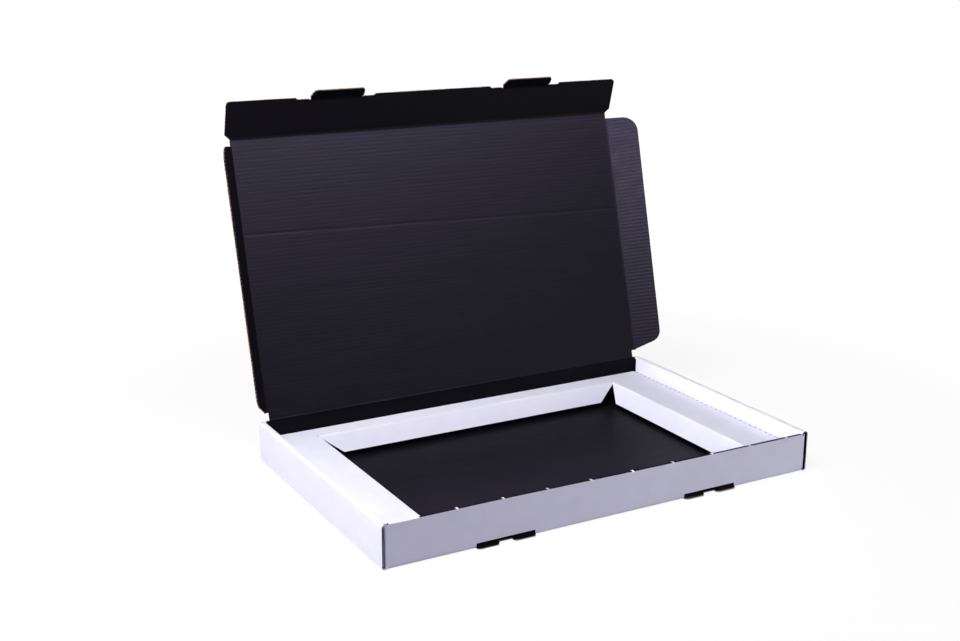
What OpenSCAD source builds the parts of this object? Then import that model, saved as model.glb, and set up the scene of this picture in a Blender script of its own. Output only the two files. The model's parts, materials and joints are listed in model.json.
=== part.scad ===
// Shallow shipping box for chocolates: a folded corrugated board tray with roll-over side walls,
// a hinged lid with its flaps and lock tabs, and a loose frame insert that makes the chocolate well.
// Sizes are millimetres. X runs along the front, Y to the back and Z up.
// The origin is the middle of the tray's underside, and the lid is drawn standing open.

/* [Board] */
// Thickness of the corrugated board
board_t = 1.5; // [1.2:0.1:1.8]
// Inner radius of a folded edge
fold_r = 0.5; // [0.3:0.1:0.8]
// Air between layers that are folded on to each other
layer_gap = 0.25; // [0.2:0.05:0.4]
// Clearance between pieces that seat in or pass each other
fit_gap = 0.3; // [0.2:0.05:0.4]
// Open width of a hinged crease
crease_gap = 0.3; // [0.2:0.05:0.4]

/* [Tray] */
// Outside length of the tray, along the front
tray_l = 350; // [320:1:420]
// Outside depth of the tray, front to back
tray_w = 214; // [205:1:260]
// Height of the tray's walls
tray_h = 31; // [29:0.5:40]
// Length of the corner flaps held inside the side walls
corner_flap_l = 60; // [30:1:90]
// Gap between the inner side layer and the back wall
side_end_gap = 1.2; // [0.8:0.1:4]

/* [Lock slots] */
// Length of each lock slot along the bottom front edge
slot_l = 45; // [35:1:52]
// Distance between the middles of the two slots
slot_pitch = 169; // [140:1:200]
// Width of the notch between the two lips of a slot
slot_notch_l = 11; // [6:1:16]
// How far a slot's lips stand out of the front wall
lip_reach = 2.5; // [1:0.5:4]
// Chamfer on the outer corner of each lip
lip_chamfer = 2; // [0.4:0.2:2.4]

/* [Slit crease] */
// Distance between the bridges left in the slit along the front wall's top
bridge_pitch = 34.5; // [20:0.5:60]
// Width of each bridge
bridge_w = 2; // [1:0.5:4]
// Depth of the open slit
slit_d = 0.5; // [0.3:0.1:0.7]

/* [Frame insert] */
// Height of the frame's face above the table
frame_z = 19; // [17:0.5:20]
// Length of the window
window_l = 270; // [200:1:290]
// Depth of the window, front to back
window_w = 176; // [120:1:184]
// Depth of the flaps folded down round the window
window_flap_d = 15; // [8:0.5:16]
// Fold of the front and back window flaps below level
long_flap_fold = 60; // [45:1:80]
// Fold of the end window flaps below level
end_flap_fold = 65; // [45:1:80]
// Square cut out between two legs at the frame's back corners
leg_relief = 3; // [2.5:0.5:6]

/* [Lid] */
// Lean of the open lid behind upright
lid_lean = 15.3; // [0:0.1:60]
// Gap between a dust flap's crease and the side wall's inner face
lid_side_gap = 1; // [0.8:0.1:3]
// Cut back of the lid's ends beside its hinge
lid_hinge_inset = 2; // [0:0.5:4]
// Bevel that lets the hinge crease open flat
hinge_bevel = 45; // [30:1:50]

/* [Dust flaps] */
// Reach of a dust flap from its crease
dust_reach = 26.5; // [20:0.5:27]
// Distance from the lid's hinge to a dust flap
dust_start = 6; // [4:0.5:15]
// Distance from a dust flap to the lid's front crease
dust_front_gap = 5; // [2:0.2:8]
// Slope of the edge beside the hinge
dust_slope = 18; // [10:1:25]
// Slope of the edge beside the front flap
dust_front_slope = 4; // [0:1:15]
// Lean of the outer edge, which brings it closer to the crease at the hinge's end
dust_lean = 0.6; // [0:0.1:2]
// Radius of the corner beside the hinge
dust_hinge_r = 10; // [5:0.5:12]
// Radius of the corner beside the front flap
dust_front_r = 13; // [5:0.5:16]
// Fold of the left dust flap out of the lid's plane
dust_fold_left = 60; // [0:1:90]
// Fold of the right dust flap out of the lid's plane
dust_fold_right = 38; // [0:1:90]
// Bevel that lets a dust flap bend back past flat
dust_bevel = 26; // [10:1:35]

/* [Front flap] */
// Distance of the flap's ends from the tray's ends
front_inset = 2; // [1:0.5:5]
// Gap between the closed flap's free edge and the table
front_edge_z = 1.3; // [0.6:0.1:2]
// Fold of the flap out of the lid's plane
front_fold = 30; // [0:1:90]
// Width of the chamfer at the crease's ends
front_chamfer = 3.5; // [2:0.5:6]
// Radius of the free corners
front_corner_r = 3; // [1:0.5:4]
// Length of the shallow notch round each lock tab
notch_l = 67; // [58:1:80]
// Depth of that notch
notch_d = 1.5; // [1:0.1:1.8]

/* [Lock tabs] */
// Depth of a lock tab from its crease
tab_d = 11; // [8:0.5:12]
// How far a tab's ears stand out past the ends of its crease
tab_ear = 1; // [0.4:0.2:2]
// Distance of the ears from the crease
tab_ear_d = 3.5; // [2:0.5:5]
// Narrowing of a tab on each side, from ears to end
tab_taper = 1.6; // [0.6:0.2:4]
// Radius of a tab's end corners
tab_r = 3; // [1:0.5:3.5]
// Fold of the tabs out of the front flap's plane
tab_fold = 35; // [5:1:90]

/* [Hidden] */
$fn = 48;
over = 1;

outside = "white";
inside = "#2b2831";

half_l = tray_l / 2;
half_w = tray_w / 2;
fold_o = fold_r + board_t;
side_t = 3 * board_t + 2 * layer_gap;
front_t = 2 * board_t + layer_gap;
inner_x = half_l - side_t;
wall_x = inner_x - fit_gap;
corner_x = half_l - board_t - layer_gap - fold_o;
front_inner_y = -half_w + front_t;
back_inner_y = half_w - board_t;
under_roll_z = tray_h - board_t - fit_gap;

half_crease = crease_gap / 2;
hinge_y = back_inner_y;
hinge_z = tray_h + fit_gap;
hinge_drop = half_crease / cos(hinge_bevel);
bevel_drop = board_t * tan(hinge_bevel);
lid_d = hinge_y + half_w + fit_gap;
lid_x = inner_x - lid_side_gap;
dust_end = lid_d - dust_front_gap;
dust_bevel_d = board_t * tan(dust_bevel);

front_x = half_l - front_inset;
front_d = hinge_z - front_edge_z;
tab_crease_z = 2 * board_t + fit_gap;
tab_crease_d = hinge_z - tab_crease_z;
slot_top_z = tab_crease_z + fit_gap;
tab_half = slot_l / 2 - fit_gap;
slot_places = [-slot_pitch / 2, slot_pitch / 2];

bridges_a_side = floor(wall_x / bridge_pitch + 0.5);
bridge_places = [for (i = [0 : 2 * bridges_a_side - 1]) (i - bridges_a_side + 0.5) * bridge_pitch];
slit_starts = concat([-wall_x - over], bridge_places);
slit_ends = concat(bridge_places, [wall_x + over]);

frame_x = inner_x - fit_gap;
frame_front_y = front_inner_y + fit_gap;
frame_back_y = back_inner_y - fit_gap;

// Flat rectangle from corner to corner
module bar(x0, x1, y0, y1) {
    translate([x0, y0]) square([x1 - x0, y1 - y0]);
}

// Quarter of a folded edge's section, on the side of its centre that sx and sy point to
module bend(centre, sx, sy) {
    translate(centre) intersection() {
        difference() {
            circle(fold_o);
            circle(fold_r);
        }
        bar(min(0, sx) * fold_o, max(0, sx) * fold_o, min(0, sy) * fold_o, max(0, sy) * fold_o);
    }
}

// Solid with a section in X and Z, from y0 to y1
module along_y(y0, y1) {
    translate([0, y1, 0]) rotate([90, 0, 0]) linear_extrude(y1 - y0) children();
}

// Solid with a section in Y and Z, from x0 to x1
module along_x(x0, x1) {
    translate([x0, 0, 0]) rotate([90, 0, 90]) linear_extrude(x1 - x0) children();
}

// The same solid on both ends of the box
module both_ends() {
    children();
    mirror([1, 0, 0]) children();
}

// Outer layer of the right side wall, from the floor's fold over the rolled top
module side_outer_section() {
    bend([half_l - fold_o, fold_o], 1, -1);
    bar(half_l - board_t, half_l, fold_o, tray_h - fold_o);
    bend([half_l - fold_o, tray_h - fold_o], 1, 1);
    bar(inner_x + fold_o, half_l - fold_o, tray_h - board_t, tray_h);
    bend([inner_x + fold_o, tray_h - fold_o], -1, 1);
}

module side_wall() {
    along_y(-half_w, half_w) side_outer_section();
    along_y(front_inner_y + fit_gap, back_inner_y - side_end_gap)
        bar(inner_x, inner_x + board_t, board_t + fit_gap, tray_h - fold_o);
}

// Corner flap that runs from the end of the front or back wall into the hollow side wall
module corner_flap() {
    translate([0, 0, fold_o]) linear_extrude(under_roll_z - fold_o) {
        bend([corner_x, -half_w + fold_o], 1, -1);
        bar(corner_x + fold_r, corner_x + fold_o, -half_w + fold_o, -half_w + corner_flap_l);
    }
}

// Lower part of a wall's end, which passes under the rolled top of the side wall
module wall_end() {
    along_x(wall_x, corner_x) {
        bend([-half_w + fold_o, fold_o], -1, -1);
        bar(-half_w, -half_w + board_t, fold_o, under_roll_z);
    }
    corner_flap();
}

// Doubled front wall, no higher than its ends, which pass under the rolled side walls
module front_section() {
    bend([-half_w + fold_o, fold_o], -1, -1);
    bar(-half_w, -half_w + board_t, fold_o, under_roll_z - board_t);
    bar(-half_w, front_inner_y, under_roll_z - board_t, under_roll_z);
    bar(front_inner_y - board_t, front_inner_y, board_t + fit_gap, under_roll_z - board_t);
}

// Open slit along the front wall's folded top, cut between the bridges
module slit_crease() {
    for (i = [0 : len(slit_starts) - 1])
        along_x(slit_starts[i] + bridge_w / 2, slit_ends[i] - bridge_w / 2)
            translate([-half_w, under_roll_z]) rotate(45) square(slit_d * sqrt(2), center = true);
}

module lock_slots() {
    for (x = slot_places)
        translate([x - slot_l / 2, -half_w - over, -over])
            cube([slot_l, front_t + fit_gap + over, slot_top_z + over]);
}

// Two lips of the floor that stay level where a lock slot cuts the front fold
module lock_lips() {
    lip_l = (slot_l - slot_notch_l) / 2;
    front = -half_w - lip_reach;
    back = -half_w + fold_o;
    for (x = slot_places, s = [-1, 1])
        translate([x + s * slot_l / 2, 0, 0]) linear_extrude(board_t)
            polygon([[0, back], [0, front + lip_chamfer], [-s * lip_chamfer, front],
                [-s * (lip_l - lip_chamfer), front], [-s * lip_l, front + lip_chamfer], [-s * lip_l, back]]);
}

module front_wall() {
    difference() {
        union() {
            along_x(-wall_x, wall_x) front_section();
            both_ends() wall_end();
        }
        slit_crease();
        lock_slots();
    }
    lock_lips();
}

// Back wall, with a bevelled top that lets the lid fall back
module back_wall() {
    along_x(-wall_x, wall_x) {
        bend([half_w - fold_o, fold_o], 1, -1);
        polygon([[back_inner_y, fold_o], [half_w, fold_o], [half_w, hinge_z - hinge_drop - bevel_drop],
            [back_inner_y, hinge_z - hinge_drop]]);
    }
    both_ends() mirror([0, 1, 0]) wall_end();
}

module tray() {
    color(outside) {
        translate([-half_l + fold_o, -half_w + fold_o, 0])
            cube([tray_l - 2 * fold_o, tray_w - 2 * fold_o, board_t]);
        both_ends() side_wall();
        front_wall();
        back_wall();
    }
}

// Window flap with mitred ends, hinged at its own X axis and reaching along Y
module window_flap(crease_l) {
    translate([0, 0, -board_t / 2]) linear_extrude(board_t)
        polygon([[-crease_l / 2, 0], [crease_l / 2, 0], [crease_l / 2 - window_flap_d, window_flap_d],
            [-crease_l / 2 + window_flap_d, window_flap_d]]);
    translate([-crease_l / 2, 0, 0]) rotate([0, 90, 0]) cylinder(h = crease_l, d = board_t);
}

// Leg folded down from the frame's right end
module frame_end_leg() {
    along_y(frame_front_y, frame_back_y - leg_relief) {
        bend([frame_x - fold_o, frame_z - fold_o], 1, 1);
        bar(frame_x - board_t, frame_x, board_t, frame_z - fold_o);
    }
}

// Leg folded down from the frame's back edge
module frame_back_leg() {
    along_x(-frame_x + leg_relief, frame_x - leg_relief) {
        bend([frame_back_y - fold_o, frame_z - fold_o], 1, 1);
        bar(frame_back_y - board_t, frame_back_y, board_t, frame_z - fold_o);
    }
}

module frame_insert() {
    color(outside) {
        translate([0, 0, frame_z - board_t]) linear_extrude(board_t) difference() {
            bar(-frame_x + fold_o, frame_x - fold_o, frame_front_y, frame_back_y - fold_o);
            square([window_l, window_w], center = true);
        }
        both_ends() frame_end_leg();
        frame_back_leg();
        for (turn = [0, 180])
            rotate(turn) translate([0, -window_w / 2, frame_z - board_t / 2]) rotate([-long_flap_fold, 0, 0])
                window_flap(window_l);
        for (turn = [90, 270])
            rotate(turn) translate([0, -window_l / 2, frame_z - board_t / 2]) rotate([-end_flap_fold, 0, 0])
                window_flap(window_w);
    }
}

// Lid's own frame: Y runs from the hinge to the front crease, and the board lies below Z = 0, its inner face
module on_lid() {
    translate([0, hinge_y, hinge_z]) rotate([90 - lid_lean, 0, 0]) children();
}

module on_front_flap() {
    on_lid() translate([0, lid_d, 0]) rotate([front_fold, 0, 0]) children();
}

// Board of a flat outline, below its inner face
module board() {
    translate([0, 0, -board_t]) linear_extrude(board_t) children();
}

// Bevel cut along the right dust crease, on the lid's side of it
module lid_dust_bevel() {
    along_y(-over, lid_d + over)
        polygon([[lid_x - half_crease, 0], [lid_x - half_crease - dust_bevel_d, -board_t],
            [lid_x - half_crease - dust_bevel_d, -board_t - over], [lid_x + over, -board_t - over],
            [lid_x + over, over], [lid_x - half_crease, over]]);
}

module lid_panel() {
    color(inside) on_lid() difference() {
        along_x(-lid_x, lid_x)
            polygon([[hinge_drop, 0], [lid_d - half_crease, 0], [lid_d - half_crease, -board_t],
                [hinge_drop + bevel_drop, -board_t]]);
        both_ends() {
            lid_dust_bevel();
            translate([lid_x - lid_hinge_inset, -over, -board_t - over])
                cube([lid_hinge_inset + over, dust_start + over, board_t + 2 * over]);
        }
    }
}

// Outline of the right dust flap: X from its crease, Y from the lid's hinge.
// Its rounded corners touch the sloped edge at each end and the leaning outer edge.
module dust_outline() {
    out = [cos(dust_lean), -sin(dust_lean)];
    edge = dust_reach * out[0] + dust_end * out[1];
    hinge_foot = dust_start + dust_hinge_r / cos(dust_slope);
    hinge_x_c = (edge - dust_hinge_r - hinge_foot * out[1]) / (out[0] + tan(dust_slope) * out[1]);
    hinge_c = [hinge_x_c, hinge_foot + hinge_x_c * tan(dust_slope)];
    front_foot = dust_end - dust_front_r / cos(dust_front_slope);
    front_x_c = (edge - dust_front_r - front_foot * out[1]) / (out[0] - tan(dust_front_slope) * out[1]);
    front_c = [front_x_c, front_foot - front_x_c * tan(dust_front_slope)];
    polygon([[0, dust_start], hinge_c + dust_hinge_r * [sin(dust_slope), -cos(dust_slope)],
        hinge_c + dust_hinge_r * out, front_c + dust_front_r * out,
        front_c + dust_front_r * [sin(dust_front_slope), cos(dust_front_slope)], [0, dust_end]]);
    translate(hinge_c) circle(dust_hinge_r);
    translate(front_c) circle(dust_front_r);
}

module dust_flap(fold) {
    color(inside) translate([lid_x, 0, 0]) rotate([0, -fold, 0]) difference() {
        board() dust_outline();
        along_y(0, lid_d)
            polygon([[half_crease, over], [half_crease, 0], [half_crease + dust_bevel_d, -board_t],
                [half_crease + dust_bevel_d, -board_t - over], [-over, -board_t - over], [-over, over]]);
    }
}

module dust_flap_left() {
    on_lid() mirror([1, 0, 0]) dust_flap(dust_fold_left);
}

module dust_flap_right() {
    on_lid() dust_flap(dust_fold_right);
}

// Front flap's outline with rounded free corners, before its notches
module front_outline() {
    corner = [front_x - front_corner_r, front_d - front_corner_r];
    polygon([[-lid_x, half_crease], [lid_x, half_crease], [front_x, front_chamfer], [front_x, corner[1]],
        [corner[0], front_d], [-corner[0], front_d], [-front_x, corner[1]], [-front_x, front_chamfer]]);
    for (s = [-1, 1]) translate([s * corner[0], corner[1]]) circle(front_corner_r);
}

// Shallow notch with sloped ends, and the straight cut that the tab's crease lies on
module tab_notch() {
    floor_d = front_d - notch_d;
    polygon([[-notch_l / 2 - over, front_d + over], [-notch_l / 2 + notch_d, floor_d],
        [notch_l / 2 - notch_d, floor_d], [notch_l / 2 + over, front_d + over]]);
    bar(-slot_l / 2, slot_l / 2, tab_crease_d - half_crease, floor_d + over);
}

module front_flap() {
    color(inside) on_front_flap() board() difference() {
        front_outline();
        for (x = slot_places) translate([x, 0]) tab_notch();
    }
}

// Lock tab, with ears that catch behind the slot's ends and rounded end corners
module tab_outline() {
    root = tab_half - tab_ear;
    lean = atan(tab_taper / (tab_d - tab_ear_d));
    c_y = tab_d - tab_r;
    c = [tab_half - (c_y - tab_ear_d) * tan(lean) - tab_r / cos(lean), c_y];
    side = c + tab_r * [cos(lean), sin(lean)];
    polygon([[-root, half_crease], [root, half_crease], [tab_half, tab_ear_d], side, [c[0], tab_d],
        [-c[0], tab_d], [-side[0], side[1]], [-tab_half, tab_ear_d]]);
    for (s = [-1, 1]) translate([s * c[0], c[1]]) circle(tab_r);
}

module lock_tab(x) {
    color(inside) on_front_flap() translate([x, tab_crease_d, 0]) rotate([tab_fold, 0, 0])
        board() tab_outline();
}

module lock_tab_left() {
    lock_tab(slot_places[0]);
}

module lock_tab_right() {
    lock_tab(slot_places[1]);
}

tray();
frame_insert();
lid_panel();
front_flap();
lock_tab_left();
lock_tab_right();
dust_flap_left();
dust_flap_right();
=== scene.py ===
"""Dresses a folded chocolate shipping box in its printed corrugated board.

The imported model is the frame. Every sheet of the box is built as the board that it is made of, two paper
liners on a fluted medium, and is folded, cut and creased as its blank would be. Lengths are in millimetres
up to the point where a mesh is laid, and in metres from there on.
"""

import json
import logging
import math
from collections.abc import Callable, Mapping, Sequence
from dataclasses import dataclass, field
from enum import Enum
from typing import Any, ClassVar

import bpy
import numpy as np
from mathutils import Matrix, Vector


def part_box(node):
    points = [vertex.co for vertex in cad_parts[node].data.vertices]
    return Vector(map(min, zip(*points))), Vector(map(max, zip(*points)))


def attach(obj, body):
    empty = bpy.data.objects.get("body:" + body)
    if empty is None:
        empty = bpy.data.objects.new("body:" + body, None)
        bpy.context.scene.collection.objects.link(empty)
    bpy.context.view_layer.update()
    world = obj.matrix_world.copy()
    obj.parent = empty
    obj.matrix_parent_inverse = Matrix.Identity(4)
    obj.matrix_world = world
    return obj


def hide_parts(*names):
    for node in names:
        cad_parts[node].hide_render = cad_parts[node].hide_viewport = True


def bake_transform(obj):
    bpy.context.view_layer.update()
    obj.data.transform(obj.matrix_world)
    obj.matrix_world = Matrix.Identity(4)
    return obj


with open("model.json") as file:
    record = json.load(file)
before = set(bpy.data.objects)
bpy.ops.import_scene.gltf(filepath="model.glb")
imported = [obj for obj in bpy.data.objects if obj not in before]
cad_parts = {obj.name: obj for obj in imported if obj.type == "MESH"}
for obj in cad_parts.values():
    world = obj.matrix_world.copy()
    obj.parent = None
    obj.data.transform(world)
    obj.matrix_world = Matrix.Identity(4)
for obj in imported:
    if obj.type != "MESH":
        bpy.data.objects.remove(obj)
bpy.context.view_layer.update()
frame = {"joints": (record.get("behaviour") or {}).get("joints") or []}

MM = 0.001
ORIGIN = np.zeros(3)
X_AXIS, Y_AXIS, Z_AXIS = np.eye(3)
CUT_MARGIN = 1.0
SMOOTH_ANGLE = math.radians(40)
LEAST_LENGTH = 1e-6
SLACK = 1e-9
LOG = logging.getLogger("chocolate_box")

Surface = Callable[[np.ndarray, np.ndarray], tuple[np.ndarray, np.ndarray]]
Dent = Callable[[np.ndarray, np.ndarray], np.ndarray]
Outline = Sequence[tuple[float, float]]


def linear(colour: str) -> tuple[float, float, float, float]:
    """Turns an sRGB hex colour into linear values.

    Args:
        colour: The colour as a hash sign and six hex digits.

    Returns:
        Linear red, green and blue, with full alpha.
    """
    parts = [int(colour[i:i + 2], 16) / 255 for i in (1, 3, 5)]
    red, green, blue = (c / 12.92 if c <= 0.04045 else ((c + 0.055) / 1.055) ** 2.4 for c in parts)
    return red, green, blue, 1.0


def empty_tree(owner: bpy.types.Material | bpy.types.World) -> bpy.types.NodeTree:
    """Gives a material or a world an empty node tree."""
    owner.use_nodes = True
    owner.node_tree.nodes.clear()
    return owner.node_tree


def add_node(tree: bpy.types.NodeTree, kind: str, settings: Mapping[str, Any],
             links: Mapping[str, bpy.types.NodeSocket]) -> bpy.types.Node:
    """Adds a node to a tree, with its settings and its links.

    Args:
        tree: The node tree.
        kind: The node's type.
        settings: Values by the name of an input socket, or of a property of the node.
        links: Output sockets by the name of the input that each goes to.

    Returns:
        The new node.
    """
    node = tree.nodes.new(kind)
    for name, value in settings.items():
        if hasattr(node, name):
            setattr(node, name, value)
        else:
            node.inputs[name].default_value = value
    for name, source in links.items():
        tree.links.new(source, node.inputs[name])
    return node


def unit(vector: np.ndarray) -> np.ndarray:
    """Scales a vector to a length of 1."""
    return vector / np.linalg.norm(vector)


def ease(share: np.ndarray) -> np.ndarray:
    """Eases shares in and out between 0 and 1."""
    return share * share * (3 - 2 * share)


def select_only(*pieces: bpy.types.Object) -> None:
    """Deselects everything, then selects the pieces and makes the first one active."""
    bpy.ops.object.select_all(action="DESELECT")
    for piece in pieces:
        piece.select_set(True)
    bpy.context.view_layer.objects.active = pieces[0]


def apply_modifier(piece: bpy.types.Object, kind: str, **settings: Any) -> None:
    """Adds a modifier to a piece and applies it.

    Args:
        piece: The piece.
        kind: The modifier's type.
        **settings: The modifier's properties.
    """
    select_only(piece)
    modifier = piece.modifiers.new(kind.lower(), kind)
    for name, value in settings.items():
        setattr(modifier, name, value)
    bpy.ops.object.modifier_apply(modifier=modifier.name)


def join(name: str, pieces: Sequence[bpy.types.Object]) -> bpy.types.Object:
    """Joins pieces into one object of that name."""
    select_only(*pieces)
    if len(pieces) > 1:
        bpy.ops.object.join()
    joined = bpy.context.object
    joined.name = joined.data.name = name
    return joined


def lay_sheet(name: str, across: np.ndarray, along: np.ndarray, surface: Surface) -> bpy.types.Object:
    """Adds a grid and lays its rows and columns on a surface, with its faces to the surface's open side.

    Args:
        name: The sheet's name.
        across: The columns' places, in mm.
        along: The rows' places, in mm.
        surface: Gives points and open-side directions from places across and along.

    Returns:
        The sheet, without thickness.
    """
    columns, rows = len(across) - 1, len(along) - 1
    bpy.ops.object.select_all(action="DESELECT")
    bpy.ops.mesh.primitive_grid_add(x_subdivisions=columns, y_subdivisions=rows, size=1)
    sheet = bpy.context.object
    sheet.name = name
    mesh = sheet.data
    flat = np.empty(len(mesh.vertices) * 3)
    mesh.vertices.foreach_get("co", flat)
    flat = flat.reshape(-1, 3) + 0.5
    column = np.rint(flat[:, 0] * columns).astype(int)
    row = np.rint(flat[:, 1] * rows).astype(int)
    points, outward = surface(across[column], along[row])
    mesh.vertices.foreach_set("co", (points * MM).ravel())
    mesh.update()
    normals = np.empty(len(mesh.polygons) * 3)
    mesh.polygons.foreach_get("normal", normals)
    first = np.array([face.vertices[0] for face in mesh.polygons])
    if (normals.reshape(-1, 3) * outward[first]).sum() < 0:
        bpy.ops.object.mode_set(mode="EDIT")
        bpy.ops.mesh.select_all(action="SELECT")
        bpy.ops.mesh.flip_normals()
        bpy.ops.object.mode_set(mode="OBJECT")
    return sheet


@dataclass(frozen=True)
class Axes:
    """Where a sheet's section stands in the box: its origin, its sweep and the section's two directions."""

    origin: np.ndarray
    sweep: np.ndarray
    first: np.ndarray
    second: np.ndarray

    def put(self, across: np.ndarray, section: np.ndarray) -> np.ndarray:
        """Puts section points into the box, in mm.

        Args:
            across: Places along the sweep.
            section: Points in the section's plane, a row each.

        Returns:
            The points in the box, a row each.
        """
        return self.origin + across[:, None] * self.sweep + self.turn(section)

    def turn(self, section: np.ndarray) -> np.ndarray:
        """Turns section directions into the box's directions."""
        return section[:, :1] * self.first + section[:, 1:] * self.second


def rounded(corners: Sequence[tuple[float, float, float]], steps: int = 6) -> list[tuple[float, float]]:
    """Rounds the corners of an outline, each by its own radius.

    Args:
        corners: The outline's corners as two places and a radius.
        steps: Facets in each rounded corner.

    Returns:
        The outline's points.
    """
    outline = []
    for i, (x, y, radius) in enumerate(corners):
        if radius == 0:
            outline.append((x, y))
            continue
        point = np.array((x, y))
        back = unit(np.array(corners[i - 1][:2]) - point)
        ahead = unit(np.array(corners[(i + 1) % len(corners)][:2]) - point)
        half = math.acos(float(np.clip(back @ ahead, -1, 1))) / 2
        centre = point + unit(back + ahead) * radius / math.sin(half)
        start = point + back * radius / math.tan(half) - centre
        end = point + ahead * radius / math.tan(half) - centre
        angle = math.atan2(start[1], start[0])
        turn = (math.atan2(end[1], end[0]) - angle + math.pi) % (2 * math.pi) - math.pi
        for k in range(steps + 1):
            at = angle + turn * k / steps
            outline.append((centre[0] + radius * math.cos(at), centre[1] + radius * math.sin(at)))
    return outline


def rectangle(across: tuple[float, float], along: tuple[float, float]) -> list[tuple[float, float]]:
    """Gives the outline of a rectangle from its two ranges."""
    return [(across[0], along[0]), (across[1], along[0]), (across[1], along[1]), (across[0], along[1])]


def add_block(axes: Axes, outline: Outline, low: float, high: float) -> bpy.types.Object:
    """Models a cutting block: a filled ring is set to an outline and extruded.

    Args:
        axes: Where the outline stands: across the sweep and along the first direction.
        outline: The outline's points, in mm.
        low: Where the block starts in the second direction.
        high: Where the block ends in the second direction.

    Returns:
        The closed block.
    """
    bpy.ops.object.select_all(action="DESELECT")
    bpy.ops.mesh.primitive_circle_add(vertices=len(outline), radius=1, fill_type="NGON")
    block = bpy.context.object
    places = np.array(outline, float)
    section = np.stack([places[:, 1], np.full(len(places), low)], 1)
    block.data.vertices.foreach_set("co", (axes.put(places[:, 0], section) * MM).ravel())
    block.data.update()
    bpy.ops.object.mode_set(mode="EDIT")
    bpy.ops.mesh.select_all(action="SELECT")
    rise = Vector(axes.second * (high - low) * MM)
    bpy.ops.mesh.extrude_region_move(TRANSFORM_OT_translate={"value": rise})
    bpy.ops.mesh.select_all(action="SELECT")
    bpy.ops.mesh.normals_make_consistent(inside=False)
    bpy.ops.object.mode_set(mode="OBJECT")
    return block


class Cut(Enum):
    """What a cutting block does to a sheet."""

    AWAY = "DIFFERENCE"
    TO_OUTLINE = "INTERSECT"


class Layer(Enum):
    """The three papers of a corrugated board."""

    OUTER = "outer_liner"
    MEDIUM = "fluted_medium"
    INNER = "inner_liner"

    @property
    def side(self) -> float:
        """The side that the paper's open face looks to: 1 for the board's outer side, -1 for the inner."""
        return -1.0 if self is Layer.INNER else 1.0


class Flutes(Enum):
    """How a sheet's flutes lie to the path that it is folded along."""

    ACROSS_PATH = "across"
    ALONG_PATH = "along"


# Where the clouds of a paper's noise begin and end, how rough the noise is, and how strongly fibres show
CLOUD_LOW, CLOUD_HIGH = 0.3, 0.7
NOISE_ROUGHNESS = 0.6
FIBRE_STRENGTH = 0.35


@dataclass(frozen=True)
class PaperFinish:
    """A paper's colour and surface, from its pulp, coating or print."""

    name: str
    colour: str
    cloud: str
    roughness: float
    roughness_spread: float
    gloss: float
    cloud_mm: float
    fibre_mm: float
    fibre_relief_mm: float
    streak: float = 1.0

    def build(self) -> bpy.types.Material:
        """Builds the finish as a procedural material.

        Returns:
            The material, made once for each name.
        """
        if self.name in bpy.data.materials:
            return bpy.data.materials[self.name]
        material = bpy.data.materials.new(self.name)
        material.diffuse_color = linear(self.colour)
        tree = empty_tree(material)
        place = add_node(tree, "ShaderNodeTexCoord", {}, {}).outputs["Object"]
        # Formation clouds of the sheet, drawn out along the machine direction where the finish has streaks
        drawn = add_node(tree, "ShaderNodeMapping", {"Scale": (1 / self.streak, 1.0, 1.0)},
                         {"Vector": place})
        clouds = add_node(tree, "ShaderNodeTexNoise",
                          {"Scale": 1 / (self.cloud_mm * MM), "Detail": 4.0, "Roughness": NOISE_ROUGHNESS},
                          {"Vector": drawn.outputs["Vector"]})
        tone = add_node(tree, "ShaderNodeValToRGB", {}, {"Fac": clouds.outputs["Fac"]})
        tone.color_ramp.elements[0].position = CLOUD_LOW
        tone.color_ramp.elements[0].color = linear(self.cloud)
        tone.color_ramp.elements[1].position = CLOUD_HIGH
        tone.color_ramp.elements[1].color = linear(self.colour)
        rough = add_node(tree, "ShaderNodeMapRange",
                         {"From Min": CLOUD_LOW, "From Max": CLOUD_HIGH,
                          "To Min": self.roughness - self.roughness_spread,
                          "To Max": self.roughness + self.roughness_spread}, {"Value": clouds.outputs["Fac"]})
        # Fibre texture, drawn coarser than single fibres so that it shows at the render's scale
        fibres = add_node(tree, "ShaderNodeTexNoise",
                          {"Scale": 1 / (self.fibre_mm * MM), "Detail": 3.0, "Roughness": NOISE_ROUGHNESS},
                          {"Vector": drawn.outputs["Vector"]})
        bump = add_node(tree, "ShaderNodeBump",
                        {"Strength": FIBRE_STRENGTH, "Distance": self.fibre_relief_mm * MM},
                        {"Height": fibres.outputs["Fac"]})
        shader = add_node(tree, "ShaderNodeBsdfPrincipled", {"Specular IOR Level": self.gloss},
                          {"Base Color": tone.outputs["Color"], "Roughness": rough.outputs["Result"],
                           "Normal": bump.outputs["Normal"]})
        add_node(tree, "ShaderNodeOutputMaterial", {}, {"Surface": shader.outputs["BSDF"]})
        return material


# Bleached white top liner: clay coated and matt, a cool lavender white with faint formation clouds
WHITE_LINER = PaperFinish("bleached_white_liner", "#F0EFFC", "#ECEBF8", 0.62, 0.04, 0.02, 14.0, 0.5, 0.02)
# Black flexo printed liner: even satin ink on uncoated paper, with a soft sheen drawn out along the flutes
BLACK_LINER = PaperFinish("black_printed_liner", "#08070C", "#09080D", 0.42, 0.03, 0.03, 9.0, 0.6, 0.03, 4.0)
# Kraft fluting: unbleached brown paper, dull, with darker recycled flecks
KRAFT_MEDIUM = PaperFinish("kraft_fluting", "#9A7B5B", "#6C5238", 0.85, 0.05, 0.02, 2.5, 0.4, 0.03)
# Cut edge of the white liner: the raw grey cream pulp under the coating
PULP_EDGE = PaperFinish("cut_pulp_edge", "#CFC6BA", "#A99D90", 0.85, 0.05, 0.02, 2.0, 0.4, 0.02)
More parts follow.
